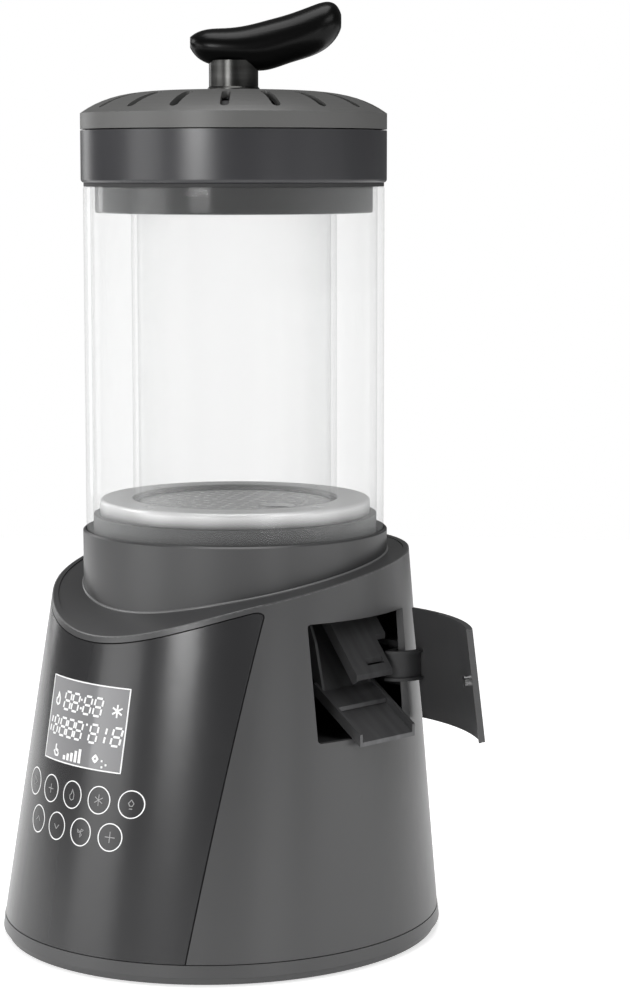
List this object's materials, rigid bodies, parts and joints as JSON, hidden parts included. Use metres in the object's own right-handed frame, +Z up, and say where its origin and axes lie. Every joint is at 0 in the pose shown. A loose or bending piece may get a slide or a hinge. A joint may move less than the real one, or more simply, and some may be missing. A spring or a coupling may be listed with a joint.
{
  "type": "coffee bean roaster",
  "caption": "Home coffee bean roaster with a dark tapered base, a glass roasting chamber, a vented lid with a handle and a side outlet door standing open.",
  "frame": {"origin": "on the table, on the axis of the roasting chamber, at the underside of the rubber foot pad", "axes": "+Z up along the chamber axis, -Y out of the control panel, +X out of the bean outlet"},
  "size_m": [0.2228, 0.1982, 0.4036],
  "materials": {
    "shell_plastic": "satin",
    "trim_plastic": "satin",
    "panel_plastic": "gloss",
    "grip_plastic": "gloss",
    "window_plastic": "gloss",
    "clear_glass": "polished",
    "steel": "brushed",
    "bright_steel": "polished",
    "aluminium": "satin",
    "zinc": "satin",
    "dark_metal": "satin",
    "rubber": "matt",
    "mica": "matt",
    "board": "satin",
    "copper": "satin"
  },
  "bodies": {
    "base": {"body_shell": "shell_plastic", "top_deck": "shell_plastic", "neck_collar": "shell_plastic", "collar_gasket": "rubber", "foot_ring": "trim_plastic", "base_plate": "trim_plastic", "foot_pad": "rubber", "base_screws": "zinc", "control_panel": "panel_plastic", "display_window": "window_plastic", "display_module": "dark_metal", "control_board": "board", "touch_springs": "zinc", "blower_housing": "steel", "blower_motor": "zinc", "motor_mount": "dark_metal", "heater_tube": "steel", "heater_frame": "mica", "heater_coils": "copper", "thermal_fuse": "zinc", "temperature_probe": "bright_steel", "discharge_duct": "steel", "plenum_funnel": "steel", "deflector_plate": "steel", "chute_frame": "trim_plastic", "gate_solenoid": "dark_metal", "hinge_pin": "bright_steel", "hinge_bracket": "trim_plastic", "power_board": "board", "transformer": "copper", "relays": "dark_metal", "cord_gland": "rubber"},
    "fan": {"motor_shaft": "bright_steel", "impeller": "dark_metal"},
    "gate": {"bean_gate": "steel", "gate_plunger": "bright_steel"},
    "door": {"door_panel": "shell_plastic", "door_arm": "trim_plastic", "door_magnet": "zinc"},
    "tray": {"chute_tray": "steel"},
    "chamber": {"chamber_base": "aluminium", "chamber_seal": "rubber", "air_plate": "steel", "inner_seal_lower": "rubber", "inner_glass": "clear_glass", "inner_seal_upper": "rubber", "outer_glass": "clear_glass"},
    "lid": {"lid_ring": "shell_plastic", "collector_plug": "bright_steel", "lid_gasket": "rubber", "chaff_cup": "steel", "chaff_screen": "steel"},
    "cap": {"lid_cap": "shell_plastic", "vent_mesh": "dark_metal", "handle_post": "dark_metal", "grip_lower": "grip_plastic", "grip_upper": "grip_plastic", "handle_screw": "zinc", "cap_nut": "zinc"}
  },
  "joints": [
    {"name": "fan_spin", "type": "hinge", "parent": "base", "child": "fan", "pos_m": [0, 0, 0.04], "axis": [0, 0, 1], "continuous": true},
    {"name": "gate_slide", "type": "slide", "parent": "base", "child": "gate", "axis": [-1, 0, 0], "range_m": [0, 0.018]},
    {"name": "door_hinge", "type": "hinge", "parent": "base", "child": "door", "pos_m": [0.0669, 0.0333, 0.12], "axis": [0, 0, 1], "range_deg": [-65.5, 0]},
    {"name": "tray_slide", "type": "slide", "parent": "base", "child": "tray", "axis": [0.829, 0, -0.5592], "range_m": [-0.0145, 0.001]},
    {"name": "chamber_lift", "type": "slide", "parent": "base", "child": "chamber", "axis": [0, 0, 1], "range_m": [0, 0.06]},
    {"name": "lid_lift", "type": "slide", "parent": "chamber", "child": "lid", "axis": [0, 0, 1], "range_m": [0, 0.05]},
    {"name": "cap_twist", "type": "hinge", "parent": "lid", "child": "cap", "pos_m": [0, 0, 0.35], "axis": [0, 0, 1], "range_deg": [0, 25]}
  ],
  "couplings": [
    {"joint": "tray_slide", "follows": "door_hinge", "m_per_rad": 0.0119}
  ]
}
